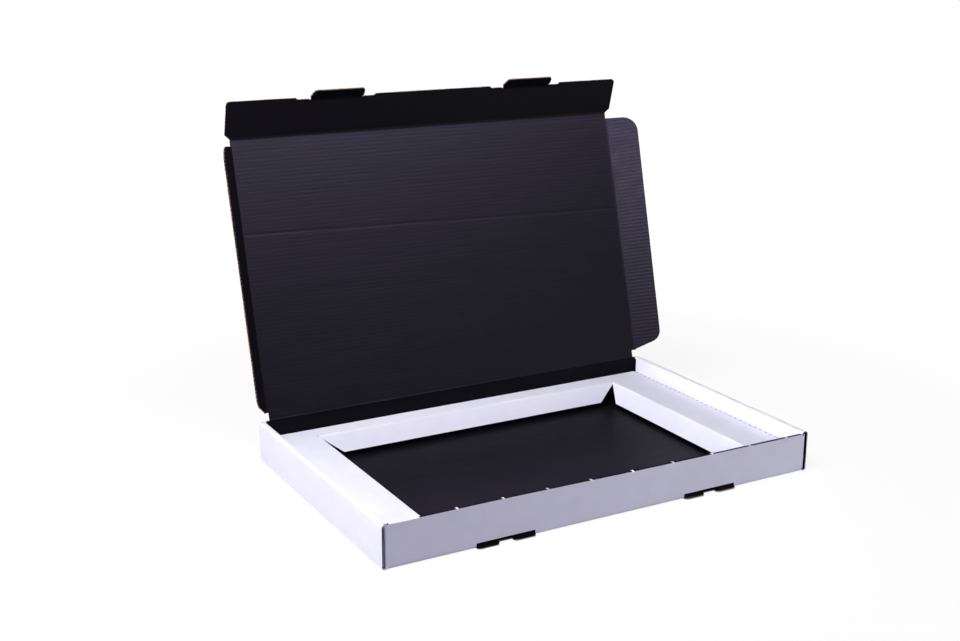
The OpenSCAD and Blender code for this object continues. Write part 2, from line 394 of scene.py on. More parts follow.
# Cut edge of the black liner: ink on the rim of brown pulp, almost black. The same near-black is also painted
# shade on the tray walls' fluting and cut edges and in the ring's dashed cuts, where the open flutes and
# slits lie in shade
INKED_AND_SHADED_EDGE = PaperFinish("inked_and_shaded_edge", "#0B0A0B", "#070606", 0.8, 0.05, 0.01, 2.0, 0.4, 0.02)


@dataclass(frozen=True)
class SheetFinishes:
    """The finishes of a sheet's layers: each face and the edge that a knife leaves on it."""

    faces: Mapping[Layer, PaperFinish]
    edges: Mapping[Layer, PaperFinish]


# The board as it comes from the knife
PRINTED_BOARD = SheetFinishes(
    {Layer.OUTER: WHITE_LINER, Layer.MEDIUM: KRAFT_MEDIUM, Layer.INNER: BLACK_LINER},
    {Layer.OUTER: PULP_EDGE, Layer.MEDIUM: KRAFT_MEDIUM, Layer.INNER: INKED_AND_SHADED_EDGE})
# The right lips, where brown fluting shows all through the cut
KRAFT_CUT_BOARD = SheetFinishes(PRINTED_BOARD.faces, {**PRINTED_BOARD.edges, Layer.OUTER: KRAFT_MEDIUM})
# The tray's walls and the left lips: the fluting and every cut edge are near-black. On the walls this is
# painted shade, for the shade in the open flutes and in the slit along the front wall's top
DARK_CUT_BOARD = SheetFinishes(
    {**PRINTED_BOARD.faces, Layer.MEDIUM: INKED_AND_SHADED_EDGE}, {layer: INKED_AND_SHADED_EDGE for layer in Layer})


@dataclass(frozen=True)
class CorrugatedBoard:
    """Single wall corrugated board, in mm."""

    thickness: float
    liner: float = 0.22
    medium: float = 0.16
    pitch: float = 3.0
    ripple: float = 0.04
    fold_r: float = 0.5

    @property
    def half(self) -> float:
        """Half the board's thickness."""
        return self.thickness / 2

    @property
    def middle_r(self) -> float:
        """Radius of a fold at the middle of the board."""
        return self.fold_r + self.half

    @property
    def wave(self) -> float:
        """Amplitude of the medium's flutes."""
        return self.half - self.liner - self.medium / 2


@dataclass
class FoldPath:
    """The line that the middle of a sheet follows from fold to fold, in its section's plane.

    The sheet's outer side is on the right of the way along the path.
    """

    corners: Sequence[tuple[float, float, float]]
    fold_steps: int = 6
    stretches: list[tuple[float, np.ndarray, float, float]] = field(init=False, default_factory=list)

    def __post_init__(self) -> None:
        """Works out the straight stretches and the arcs of the folds."""
        points = [np.array(corner[:2], float) for corner in self.corners]
        start = points[0]
        for before, point, after, corner in zip(points, points[1:], points[2:], self.corners[1:]):
            come, go = unit(point - before), unit(after - point)
            turn = math.atan2(come[0] * go[1] - come[1] * go[0], float(come @ go))
            reach = corner[2] * math.tan(abs(turn) / 2)
            self._add(start, point - come * reach, come)
            heading = math.atan2(come[1], come[0])
            self.stretches.append((corner[2] * abs(turn), point - come * reach, heading, turn))
            start = point + go * reach
        self._add(start, points[-1], unit(points[-1] - points[-2]))

    def _add(self, start: np.ndarray, end: np.ndarray, way: np.ndarray) -> None:
        """Adds a straight stretch, if it has any length."""
        length = float(np.linalg.norm(end - start))
        if length > LEAST_LENGTH:
            self.stretches.append((length, start, math.atan2(way[1], way[0]), 0.0))

    def rows(self, step: float) -> np.ndarray:
        """Gives the places of a sheet's rows.

        Args:
            step: The rows' spacing on straight stretches, in mm.

        Returns:
            Distances along the path.
        """
        places = [0.0]
        for length, _, _, turn in self.stretches:
            count = self.fold_steps if turn else max(1, round(length / step))
            places.extend(places[-1] + length * np.arange(1, count + 1) / count)
        return np.array(places)

    def at(self, along: np.ndarray) -> tuple[np.ndarray, np.ndarray]:
        """Finds points on the path.

        Args:
            along: Distances along the path.

        Returns:
            The points, and the directions to the outer side.
        """
        points = np.zeros((len(along), 2))
        outer = np.zeros((len(along), 2))
        done = 0.0
        for length, start, heading, turn in self.stretches:
            here = (along >= done - SLACK) & (along <= done + length + SLACK)
            way = along[here] - done
            angle = heading + turn * way / length
            if turn:
                arc = length / turn
                chord = [np.sin(angle) - math.sin(heading), math.cos(heading) - np.cos(angle)]
                step = np.stack(chord, 1) * arc
            else:
                step = way[:, None] * np.array([math.cos(heading), math.sin(heading)])
            points[here] = start + step
            outer[here] = np.stack([np.sin(angle), -np.cos(angle)], 1)
            done += length
        return points, outer


def thicken(paper: bpy.types.Object, layer: Layer, finishes: SheetFinishes, thickness: float) -> None:
    """Dresses a laid paper of the board and gives it its thickness.

    Args:
        paper: The paper, laid as a surface.
        layer: Which paper of the board it is.
        finishes: The finishes of the board's papers.
        thickness: The paper's thickness, in mm.
    """
    for finish in (finishes.faces[layer], finishes.edges[layer]):
        paper.data.materials.append(finish.build())
    offset = 0.0 if layer is Layer.MEDIUM else -1.0
    apply_modifier(paper, "SOLIDIFY", thickness=thickness * MM, offset=offset, material_offset_rim=1)


@dataclass
class BoardSheet:
    """A folded sheet of corrugated board, built layer by layer so that its cut edges show the flutes."""

    name: str
    board: CorrugatedBoard
    axes: Axes
    path: FoldPath
    across: tuple[float, float]
    flutes: Flutes = Flutes.ACROSS_PATH
    finishes: SheetFinishes = PRINTED_BOARD
    steps_a_flute: int = 4
    coarse: float = 30.0
    mitre_from: float | None = None
    mitre: float = 1.0
    dent: Dent | None = None
    dent_step: float = 6.0
    layers: dict[Layer, bpy.types.Object] = field(init=False, default_factory=dict)

    def build(self) -> "BoardSheet":
        """Builds the three layers and gives each its thickness."""
        for layer in Layer:
            self.layers[layer] = self._layer(layer)
        return self

    def _layer(self, layer: Layer) -> bpy.types.Object:
        """Lays one paper of the board on the fold path.

        Args:
            layer: Which paper.

        Returns:
            The paper as a closed sheet.
        """
        board = self.board
        fine = board.pitch / self.steps_a_flute
        width = self.across[1] - self.across[0]
        if self.flutes is Flutes.ACROSS_PATH:
            step = self.dent_step if self.dent and layer is Layer.INNER else self.coarse
            columns, rows = max(1, round(width / step)), self.path.rows(fine)
        else:
            columns, rows = max(1, round(width / fine)), self.path.rows(self.coarse)
        across = np.linspace(*self.across, columns + 1)

        def surface(wide: np.ndarray, long: np.ndarray) -> tuple[np.ndarray, np.ndarray]:
            """Gives the layer's open face and the side that it faces."""
            points, outer = self.path.at(long)
            place = long if self.flutes is Flutes.ACROSS_PATH else wide
            swing = np.cos(2 * math.pi * place / board.pitch)
            side = layer.side
            if layer is Layer.MEDIUM:
                height = board.wave * swing
            else:
                height = side * (board.half - board.ripple * (1 - side * swing) / 2)
            if self.dent and layer is Layer.INNER:
                height = height + self.dent(wide, long)
            if self.mitre_from is not None:
                half = width / 2
                wide = wide * (half - self.mitre * np.maximum(0.0, long - self.mitre_from)) / half
            section = points + outer * height[:, None]
            return self.axes.put(wide, section), self.axes.turn(outer) * side

        sheet = lay_sheet(f"{self.name}_{layer.value}", across, rows, surface)
        thicken(sheet, layer, self.finishes, board.medium if layer is Layer.MEDIUM else board.liner)
        return sheet

    def cut(self, blocks: Sequence[bpy.types.Object], how: Cut, layers: Sequence[Layer] = tuple(Layer),
            edges: PaperFinish | None = None) -> "BoardSheet":
        """Cuts layers with blocks, which are used up.

        Args:
            blocks: The cutting blocks, clear of each other.
            how: Whether the blocks are cut away, or the sheet is cut to their outline.
            layers: The layers that are cut.
            edges: The finish of the cut, or none for each layer's own edge.

        Returns:
            This sheet.
        """
        knife = join("knife", blocks)
        for layer in layers:
            knife.data.materials.clear()
            knife.data.materials.append((edges or self.finishes.edges[layer]).build())
            apply_modifier(self.layers[layer], "BOOLEAN", object=knife, operation=how.value, solver="EXACT",
                           material_mode="TRANSFER")
        bpy.data.objects.remove(knife)
        return self

    def block(self, outline: Outline) -> bpy.types.Object:
        """Models a cutting block that goes all through a flat sheet."""
        return add_block(self.axes, outline, -self.board.pitch, CUT_MARGIN)

    def trim(self, outline: Outline) -> "BoardSheet":
        """Cuts a flat sheet to an outline."""
        return self.cut([self.block(outline)], Cut.TO_OUTLINE)


def finish_piece(name: str, sheets: Sequence[BoardSheet], node: str,
                 body: str) -> bpy.types.Object:
    """Joins sheets into one piece with smooth faces and clean cut edges, and puts it in its node's place.

    Args:
        name: The piece's name.
        sheets: The sheets that it is made of.
        node: The node that it stands for.
        body: The body that it moves with.

    Returns:
        The piece.
    """
    piece = join(name, [layer for sheet in sheets for layer in sheet.layers.values()])
    bpy.ops.object.shade_smooth_by_angle(angle=SMOOTH_ANGLE)
    LOG.info("%s: %d faces", name, len(piece.data.polygons))
    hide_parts(node)
    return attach(piece, body)


@dataclass(frozen=True)
class BoxSizes:
    """The box's main sizes, in mm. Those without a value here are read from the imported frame."""

    board_t: float
    half_l: float
    half_w: float
    hinge: np.ndarray
    lid_way: np.ndarray
    lid_d: float
    lid_x: float
    flap_hinge: np.ndarray
    flap_way: np.ndarray
    tab_crease_d: float
    slot_x: float
    front_x: float
    lip_reach: float
    frame_x: float
    frame_z: float
    frame_front_y: float
    frame_back_y: float
    crease_zone: float = 2.0
    tab_zone: float = 1.2
    hinge_x: float = 167.0
    slot_l: float = 45.0
    tab_root: float = 21.2
    dust_start: float = 6.0
    dust_end: float = 207.8

    @classmethod
    def read(cls) -> "BoxSizes":
        """Reads the sizes from the frame's joints and nodes."""
        joints = {joint["name"]: np.array(joint["pos_m"], float) / MM for joint in frame["joints"]}
        low, high = (np.array(corner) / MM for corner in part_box("tray"))
        frame_low, frame_high = (np.array(corner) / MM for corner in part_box("frame_insert"))
        hinge, flap = joints["lid_hinge"], joints["front_flap_hinge"]
        tab = joints["lock_tab_right_hinge"] * np.array((0, 1, 1))
        return cls(
            board_t=high[1] - hinge[1], half_l=high[0], half_w=high[1], hinge=hinge,
            lid_way=unit(flap - hinge), lid_d=float(np.linalg.norm(flap - hinge)),
            lid_x=joints["dust_flap_right_hinge"][0],
            flap_hinge=flap, flap_way=unit(tab - flap), tab_crease_d=float(np.linalg.norm(tab - flap)),
            slot_x=joints["lock_tab_right_hinge"][0], front_x=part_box("front_flap")[1][0] / MM,
            lip_reach=-low[1] - high[1], frame_x=frame_high[0], frame_z=frame_high[2],
            frame_front_y=frame_low[1], frame_back_y=frame_high[1])

    @property
    def lid_in(self) -> np.ndarray:
        """Direction that the lid's inner face looks."""
        return inner_side(self.lid_way)

    @property
    def flap_in(self) -> np.ndarray:
        """Direction that the front flap's inner face looks."""
        return inner_side(self.flap_way)


def inner_side(way: np.ndarray) -> np.ndarray:
    """Gives the inner side of a panel that runs that way from its hinge, across X."""
    return np.array((0.0, -way[2], way[1]))


BOX_AXES = Axes(ORIGIN, X_AXIS, Y_AXIS, Z_AXIS)
FRONT_AXES = Axes(ORIGIN, X_AXIS, Z_AXIS, -Y_AXIS)
PANEL_STEPS = 6


@dataclass
class BoxPart:
    """A part of the box, with the sizes and the board that it is made to."""

    sizes: BoxSizes
    board: CorrugatedBoard

    def panel(self, name: str, axes: Axes, along: tuple[float, float], across: tuple[float, float],
              dent: Dent | None = None) -> BoardSheet:
        """Builds the sheet of a flat hinged panel, with its inner face in the hinge's plane.

        Args:
            name: The sheet's name.
            axes: Where the panel stands.
            along: Where it starts and ends, away from its hinge.
            across: Where it starts and ends along its hinge.
            dent: Gives the depths of dents in the inner face, or none.

        Returns:
            The sheet.
        """
        path = FoldPath([(place, -self.board.half, 0) for place in along])
        sheet = BoardSheet(name, self.board, axes, path, across, steps_a_flute=PANEL_STEPS, dent=dent)
        return sheet.build()


@dataclass
class PairedPanel(BoxPart):
    """A hinged panel that the box has at the left and at the right."""

    kind: ClassVar[str]
    side: int

    @property
    def label(self) -> str:
        """Name of the panel's body and node."""
        return f"{self.kind}_right" if self.side > 0 else f"{self.kind}_left"

    def finish(self, sheet: BoardSheet) -> bpy.types.Object:
        """Dresses the panel's sheet as a piece on its own body."""
        return finish_piece(f"{self.label}_board", [sheet], node=self.label, body=self.label)


@dataclass
class Tray(BoxPart):
    """The tray: floor, doubled front wall, back wall, rolled side walls and the corner flaps in them."""

    height: float = 31.0
    layer_gap: float = 0.25
    wall_x: float = 169.7
    corner_x: float = 171.25
    under_roll_z: float = 29.2
    inner_x: float = 170.0
    inner_start_y: float = -103.45
    inner_end_y: float = 104.3
    inner_foot_z: float = 1.8
    corner_flap_x: float = 172.5
    corner_flap_end: float = 47.0
    corner_flap_foot_z: float = 2.0
    corner_foot_z: float = 0.125
    slot_notch_l: float = 11.0
    slot_top_z: float = 3.6
    lip_r: float = 2.4
    bridges: int = 9
    first_bridge: float = -3.5
    bridge_pitch: float = 34.5
    bridge_w: float = 1.5
    bridge_board: CorrugatedBoard = CorrugatedBoard(0.5, 0.12, 0.08, fold_r=0.05)
    bridge_rise: float = 0.02
    bridge_d: float = 1.5
    first_cut_x: float = -148.5
    layer_drop: float = 0.4
    liner_drop: float = 0.5
    top_line: tuple[tuple[float, float], ...] = ((-95.0, 30.9), (35.0, 29.5), (165.0, 29.2))
    roll_leg: float = 1.0
    hook_back: float = 1.7
    hook_d: float = 0.1
    hinge_relief: float = 0.2
    block_gap: float = 0.01

    def build(self) -> bpy.types.Object:
        """Builds the tray's sheets and dresses them.

        Returns:
            The tray's piece.
        """
        sheets = [*self._front_and_back(), *self._lips()]
        for side in (-1, 1):
            sheets.append(self._side_wall(side))
            for end in (-1, 1):
                sheets.append(self._corner_flap(side, end))
        return finish_piece("tray_board", sheets, node="tray", body="tray")

    @property
    def fold_y(self) -> float:
        """Where the level floor ends before the folds of the front wall and the back wall."""
        return self.sizes.half_w - self.board.fold_r - self.board.thickness

    def _front_and_back(self) -> list[BoardSheet]:
        """Builds the strip from front wall to back wall, the front wall's inner layer, and the bridges.

        Returns:
            The sheets. The fold on the front wall's top is cut through, apart from the bridges.
        """
        half, fold, paper = self.board.half, self.board.middle_r, self.bridge_board
        out = self.sizes.half_w - half
        inner = out - self.board.thickness - self.layer_gap
        front = (-self.sizes.half_w - CUT_MARGIN, self.inner_start_y + CUT_MARGIN)
        back = (self.inner_end_y, self.sizes.half_w + CUT_MARGIN)
        span = (-self.corner_x, self.corner_x)
        strip = FoldPath([(-out, self.height, 0), (-out, half, fold), (out, half, fold),
                          (out, self.height, 0)])
        layer = FoldPath([(-inner, self.inner_foot_z, 0), (-inner, self.height, 0)])
        # The walls' fluting and cut edges are near-black: painted shade of the open flutes and of the slit
        # along the top
        sheets = [BoardSheet(name, self.board, BOX_AXES, path, span, finishes=DARK_CUT_BOARD).build()
                  for name, path in (("wrap", strip), ("front_layer", layer))]
        ends = [self._end_block(side, self.under_roll_z, back) for side in (1, -1)]
        sheets[0].cut([*self._slots(-self.fold_y), *ends, self._hinge_block()], Cut.AWAY)
        sheets[1].cut(self._slots(self.inner_start_y), Cut.AWAY)
        near, far = paper.half - self.sizes.half_w, half - paper.half - inner
        middles = [self.bridge_pitch * (self.first_bridge + i) for i in range(self.bridges)]
        spans = [(x - self.bridge_w / 2, x + self.bridge_w / 2) for x in middles]
        spans.append((-self.wall_x, self.first_cut_x))
        whole = (-self.corner_x - CUT_MARGIN, self.corner_x + CUT_MARGIN)
        for sheet, drop in zip(sheets, (0.0, self.layer_drop)):
            sheet.cut([self._top_block(whole, drop)], Cut.AWAY)
            sheet.cut([self._top_block(gap, self.bridge_d) for gap in spans], Cut.AWAY)
            sheet.cut([self._end_block(1, self._leg_z(1), front)], Cut.AWAY)
        sheets[1].cut([self._end_block(-1, self.under_roll_z, front)], Cut.AWAY)
        sheets[1].cut([self._top_block(whole, self.layer_drop + self.liner_drop)], Cut.AWAY,
                      (Layer.OUTER,))
        for gap in spans:
            top = self._top_z(sum(gap) / 2)
            high, foot = top + self.bridge_rise - paper.half, top - self.bridge_d
            bridge = FoldPath([(far, foot, 0), (far, high, paper.middle_r), (near, high, paper.middle_r),
                               (near, foot, 0)])
            sheets.append(BoardSheet("bridge", paper, BOX_AXES, bridge, gap).build())
        return sheets

    def _top_z(self, x: float) -> float:
        """Gives the height of the front wall's top, which the roll at the left holds a little higher."""
        return float(np.interp(x, *zip(*self.top_line)))

    def _leg_z(self, side: int) -> float:
        """Gives the height down to which a roll's inner layer reaches at the front."""
        return self.under_roll_z - (self.roll_leg if side > 0 else 0.0)

    def _top_block(self, span: tuple[float, float], drop: float) -> bpy.types.Object:
        """Models a block that cuts a stretch of the front wall's top.

        Args:
            span: Where the stretch starts and ends along the wall.
            drop: How far below the wall's top line it cuts.

        Returns:
            The block.
        """
        places = [span[0], *(x for x, _ in self.top_line if span[0] < x < span[1]), span[1]]
        over = self.height + CUT_MARGIN
        outline = [(x, self._top_z(x) - drop) for x in places] + [(span[1], over), (span[0], over)]
        return add_block(FRONT_AXES, outline, -self.inner_start_y - CUT_MARGIN,
                         self.sizes.half_w + CUT_MARGIN)

    def _end_block(self, side: int, low: float, depth: tuple[float, float]) -> bpy.types.Object:
        """Models a block that lowers an end of the front or back wall under the rolled side wall.

        Args:
            side: 1 for the right end and -1 for the left.
            low: The height that is left.
            depth: Where the block starts and ends along Y.

        Returns:
            The block.
        """
        left, right = sorted((side * self.wall_x, side * (self.corner_x + CUT_MARGIN)))
        return add_block(BOX_AXES, rectangle((left, right), depth), low, self.height + CUT_MARGIN)

    def _slots(self, end_y: float) -> list[bpy.types.Object]:
        """Models the blocks that cut the lock slots through a layer of the front wall.

        Args:
            end_y: How far back the slots go.

        Returns:
            The blocks.
        """
        depth = (-self.sizes.half_w - CUT_MARGIN, end_y)
        middles, half = (-self.sizes.slot_x, self.sizes.slot_x), self.sizes.slot_l / 2
        return [add_block(BOX_AXES, rectangle((x - half, x + half), depth), -CUT_MARGIN, self.slot_top_z)
                for x in middles]

    def _hinge_block(self) -> bpy.types.Object:
        """Models the block that makes room for the lid's crease on the back wall."""
        inside = self.sizes.half_w - self.board.thickness - self.hinge_relief
        low, reach = self.sizes.hinge[2] - self.sizes.crease_zone, self.sizes.hinge_x
        outline = rectangle((-reach, reach), (inside, self.sizes.half_w + CUT_MARGIN))
        return add_block(BOX_AXES, outline, low, self.height + CUT_MARGIN)

    def _lips(self) -> list[BoardSheet]:
        """Builds the floor's lips that stay level at the lock slots."""
        front, back = -self.sizes.half_w - self.sizes.lip_reach, -self.fold_y
        half_slot = self.sizes.slot_l / 2
        path = FoldPath([(front - CUT_MARGIN, self.board.half, 0), (back, self.board.half, 0)])
        sheets = []
        for side, finishes in ((-1, DARK_CUT_BOARD), (1, KRAFT_CUT_BOARD)):
            x = side * self.sizes.slot_x
            span = (x - half_slot - CUT_MARGIN, x + half_slot + CUT_MARGIN)
            sheet = BoardSheet("lips", self.board, BOX_AXES, path, span, finishes=finishes).build()
            blocks = []
            for end in (-1, 1):
                outer, inner = x + end * half_slot, x + end * self.slot_notch_l / 2
                corners = [(outer, back + CUT_MARGIN, 0), (outer, front, self.lip_r),
                           (inner, front, self.lip_r), (inner, back + CUT_MARGIN, 0)]
                blocks.append(add_block(BOX_AXES, rounded(corners, steps=3), -CUT_MARGIN, self.slot_top_z))
            sheets.append(sheet.cut(blocks, Cut.TO_OUTLINE))
        return sheets

    def _side_wall(self, side: int) -> BoardSheet:
        """Builds a rolled side wall, its inner layer shortened at both ends.

        Args:
            side: 1 for the right wall and -1 for the left.

        Returns:
            The wall's sheet.
        """
        half, fold = self.board.half, self.board.middle_r
        outer, inner, top = self.sizes.half_l - half, self.inner_x + half, self.height - half
        path = FoldPath([(self.corner_x, half, 0), (outer, half, fold), (outer, top, fold),
                         (inner, top, fold), (inner, self.inner_foot_z, 0)])
        axes = Axes(ORIGIN, Y_AXIS, side * X_AXIS, Z_AXIS)
        reach = self.sizes.half_w
        # The wall's fluting and cut edges are near-black: painted shade of the open flutes at its ends
        sheet = BoardSheet("side_wall", self.board, axes, path, (-reach, reach), Flutes.ALONG_PATH,
                           DARK_CUT_BOARD).build()
        blocks = []
        floor_end = self.sizes.half_l - self.board.fold_r - self.board.thickness
        over = reach + CUT_MARGIN
        layer = (self.inner_x - CUT_MARGIN, self.corner_flap_x)
        floor = (self.corner_x - CUT_MARGIN, floor_end)
        for end, high in (((-over, self.inner_start_y), self._leg_z(side)),
                          ((self.inner_end_y, over), self.under_roll_z)):
            blocks.append(add_block(axes, rectangle(end, layer), self.board.thickness, high))
        for end in ((-over, -self.fold_y), (self.fold_y, over)):
            blocks.append(add_block(axes, rectangle(end, floor), -CUT_MARGIN,
                                    self.board.thickness - self.block_gap))
        sheet.cut(blocks, Cut.AWAY)
        if side < 0:
            # The left roll and its foot stand back from the front a little, and their ends are white
            widths = (self.inner_x - CUT_MARGIN, self.sizes.half_l - self.board.thickness)
            outline = rectangle((-over, -reach + self.hook_back), widths)
            ends = [add_block(axes, outline, self.under_roll_z - self.hook_d, self.height + CUT_MARGIN),
                    add_block(axes, outline, -CUT_MARGIN, self.board.thickness)]
            sheet.cut(ends, Cut.AWAY, edges=WHITE_LINER)
        return sheet

    def _corner_flap(self, side: int, end: int) -> BoardSheet:
        """Builds a corner flap that turns from a wall's end into the side wall's hollow.

        Args:
            side: 1 at the right and -1 at the left.
            end: -1 at the front and 1 at the back.

        Returns:
            The flap's sheet.
        """
        out = self.sizes.half_w - self.board.half
        path = FoldPath([(self.corner_x, -out, 0), (self.corner_flap_x, -out, self.board.middle_r),
                         (self.corner_flap_x, -self.corner_flap_end, 0)])
        axes = Axes(ORIGIN, Z_AXIS, side * X_AXIS, -end * Y_AXIS)
        if (side, end) != (-1, -1):
            span = (self.corner_flap_foot_z, self.under_roll_z)
            return BoardSheet("corner_flap", self.board, axes, path, span, Flutes.ALONG_PATH).build()
        # At the left front the fold closes the corner up to the wall's top, and only the flap is low
        span = (self.corner_foot_z, self._top_z(-self.corner_x))
        sheet = BoardSheet("corner_flap", self.board, axes, path, span, Flutes.ALONG_PATH).build()
        inside = rectangle((-self.sizes.half_l, -self.inner_x),
                           (self.hook_back - self.sizes.half_w, -self.corner_flap_end + CUT_MARGIN))
        return sheet.cut([add_block(BOX_AXES, inside, self.under_roll_z, self.height + CUT_MARGIN),
                          add_block(BOX_AXES, inside, -CUT_MARGIN, self.corner_flap_foot_z)], Cut.AWAY)


@dataclass
class FrameInsert(BoxPart):
    """The loose frame that rests in the tray: a ring on folded legs, with flaps folded into its window."""

    foot_z: float = 1.5
    leg_relief: float = 3.0
    window_l: float = 270.0
    window_w: float = 176.0
    flap_d: float = 15.0
    long_flap_fold: float = 60.0
    end_flap_fold: float = 65.0
    long_flap_mitre: float = 1.16
    end_flap_mitre: float = 1.0
    flap_root: float = 1.0
    flap_r: float = 0.9
    dash_l: float = 3.0
    dash_pitch: float = 6.0
    dash_w: float = 0.9
    dash_d: float = 0.3
    dash_lift: float = 84.0

    def build(self) -> bpy.types.Object:
        """Builds the insert's sheets and dresses them.

        Returns:
            The insert's piece.
        """
        sheets = [self._ring(), self._back_leg()]
        half_l, half_w = self.window_l / 2, self.window_w / 2
        for way, sweep, half, edge, fold, mitre in (
                (Y_AXIS, X_AXIS, half_l, half_w, self.long_flap_fold, self.long_flap_mitre),
                (X_AXIS, Y_AXIS, half_w, half_l, self.end_flap_fold, self.end_flap_mitre)):
            sheets.extend(self._window_flap(side * way, sweep, half, edge, fold, mitre) for side in (-1, 1))
        return finish_piece("insert_board", sheets, node="frame_insert", body="tray")

    def _ring(self) -> BoardSheet:
        """Builds the ring with its two end legs, the window and the cut-scored end folds."""
        half, fold = self.board.half, self.board.middle_r
        leg, top = self.sizes.frame_x - half, self.sizes.frame_z - half
        path = FoldPath([(leg, self.foot_z, 0), (leg, top, fold), (-leg, top, fold),
                         (-leg, self.foot_z, 0)])
        axes = Axes(ORIGIN, Y_AXIS, X_AXIS, Z_AXIS)
        span = (self.sizes.frame_front_y, self.sizes.frame_back_y - self.leg_relief)
        sheet = BoardSheet("ring", self.board, axes, path, span, Flutes.ALONG_PATH).build()
        wide, deep = self.window_w / 2 + self.flap_root, self.window_l / 2 + self.flap_root
        window = add_block(axes, rectangle((-wide, wide), (-deep, deep)), top - self.board.pitch,
                           self.sizes.frame_z + CUT_MARGIN)
        sheet.cut([window], Cut.AWAY)
        # The dashed cuts' walls get the near-black edge: painted shade of the open slits
        return sheet.cut(self._dashes(span), Cut.AWAY, (Layer.OUTER,), INKED_AND_SHADED_EDGE)

    def _dashes(self, span: tuple[float, float]) -> list[bpy.types.Object]:
        """Models the blocks of the dashed cuts along the end folds.

        Args:
            span: Where the folds start and end along Y.

        Returns:
            The blocks.
        """
        radius = self.board.fold_r + self.board.thickness
        lift = math.radians(self.dash_lift)
        blocks = []
        for side in (-1, 1):
            out = np.array((side * math.cos(lift), 0.0, math.sin(lift)))
            centre = np.array((side * (self.sizes.frame_x - radius), 0.0, self.sizes.frame_z - radius))
            axes = Axes(centre + out * radius, Y_AXIS, np.cross(Y_AXIS, out), out)
            start = span[0] + self.dash_pitch / 2
            while start + self.dash_l < span[1]:
                outline = rectangle((start, start + self.dash_l), (-self.dash_w / 2, self.dash_w / 2))
                blocks.append(add_block(axes, outline, -self.dash_d, CUT_MARGIN))
                start += self.dash_pitch
        return blocks

    def _back_leg(self) -> BoardSheet:
        """Builds the leg folded down along the ring's back edge."""
        half = self.board.half
        leg, top = self.sizes.frame_back_y - half, self.sizes.frame_z - half
        path = FoldPath([(leg, self.foot_z, 0), (leg, top, self.board.middle_r),
                         (self.sizes.frame_back_y - self.leg_relief, top, 0)])
        reach = self.sizes.frame_x - self.leg_relief
        return BoardSheet("back_leg", self.board, BOX_AXES, path, (-reach, reach)).build()

    def _window_flap(self, out: np.ndarray, sweep: np.ndarray, half_l: float, edge: float, fold: float,
                     mitre: float) -> BoardSheet:
        """Builds a flap folded down from the window's edge, with mitred ends.

        Args:
            out: The direction from the window's middle to the edge.
            sweep: The direction along the edge.
            half_l: Half the edge's length.
            edge: The edge's distance from the middle.
            fold: How far the flap is folded below level, in degrees.
            mitre: How much shorter each end gets for each mm from the crease.

        Returns:
            The flap's sheet.
        """
        top, down = self.sizes.frame_z - self.board.half, math.radians(fold)
        path = FoldPath([(edge + self.flap_root, top, 0), (edge, top, self.flap_r),
                         (edge - self.flap_d * math.cos(down), top - self.flap_d * math.sin(down), 0)])
        axes = Axes(ORIGIN, sweep, out, Z_AXIS)
        return BoardSheet("window_flap", self.board, axes, path, (-half_l, half_l),
                          mitre_from=self.flap_root, mitre=mitre).build()


@dataclass
class Lid(BoxPart):
    """The lid's panel, with the slanted crease that handling has left in its printed face."""

    bruise_d: float = 135.5
    bruise_slope: float = -5.5
    bruise_w: float = 1.1
    bruise_depth: float = 0.09
    stretch_l: float = 14.0
    least_shown: float = 0.05
    seed: int = 5

    def build(self) -> bpy.types.Object:
        """Builds the panel and dresses it.

        Returns:
            The lid's piece.
        """
        zone, reach = self.sizes.crease_zone, self.sizes.lid_x
        end, dust_end = self.sizes.lid_d - zone, self.sizes.dust_end
        axes = Axes(self.sizes.hinge, X_AXIS, self.sizes.lid_way, self.sizes.lid_in)
        sheet = self.panel("lid", axes, (zone, end), (-reach, reach), self._dent)
        inset, wide = min(self.sizes.hinge_x, reach - zone), reach + CUT_MARGIN
        low, high = zone - CUT_MARGIN, end + CUT_MARGIN
        outline = [(-inset, low), (inset, low), (inset, dust_end), (wide, dust_end), (wide, high),
                   (-wide, high), (-wide, dust_end), (-inset, dust_end)]
        sheet.trim(outline)
        return finish_piece("lid_board", [sheet], node="lid_panel", body="lid")

    def _dent(self, wide: np.ndarray, long: np.ndarray) -> np.ndarray:
        """Gives the depth of the handling crease, less the flutes that don't show in the printed face.

        Args:
            wide: Places across the panel.
            long: Places along the panel's fold path.

        Returns:
            The depths.
        """
        line = self.bruise_d + self.bruise_slope * wide / self.sizes.lid_x
        from_line = long + self.sizes.crease_zone - line
        bruise = self.bruise_depth * np.exp(-(from_line / self.bruise_w) ** 2)
        flutes = round(self.sizes.lid_d / self.board.pitch) + 2
        stretches = round(2 * self.sizes.lid_x / self.stretch_l) + 2
        show = np.random.default_rng(self.seed).uniform(self.least_shown, 1.0, (flutes, stretches))
        place = (wide + self.sizes.lid_x) / self.stretch_l
        stretch = np.floor(place).astype(int)
        share = ease(place - stretch)
        flute = np.rint(long / self.board.pitch).astype(int)
        shown = show[flute, stretch] * (1 - share) + show[flute, stretch + 1] * share
        crest = (1 + np.cos(2 * math.pi * long / self.board.pitch)) / 2
        return bruise - self.board.ripple * (1 - shown) * crest


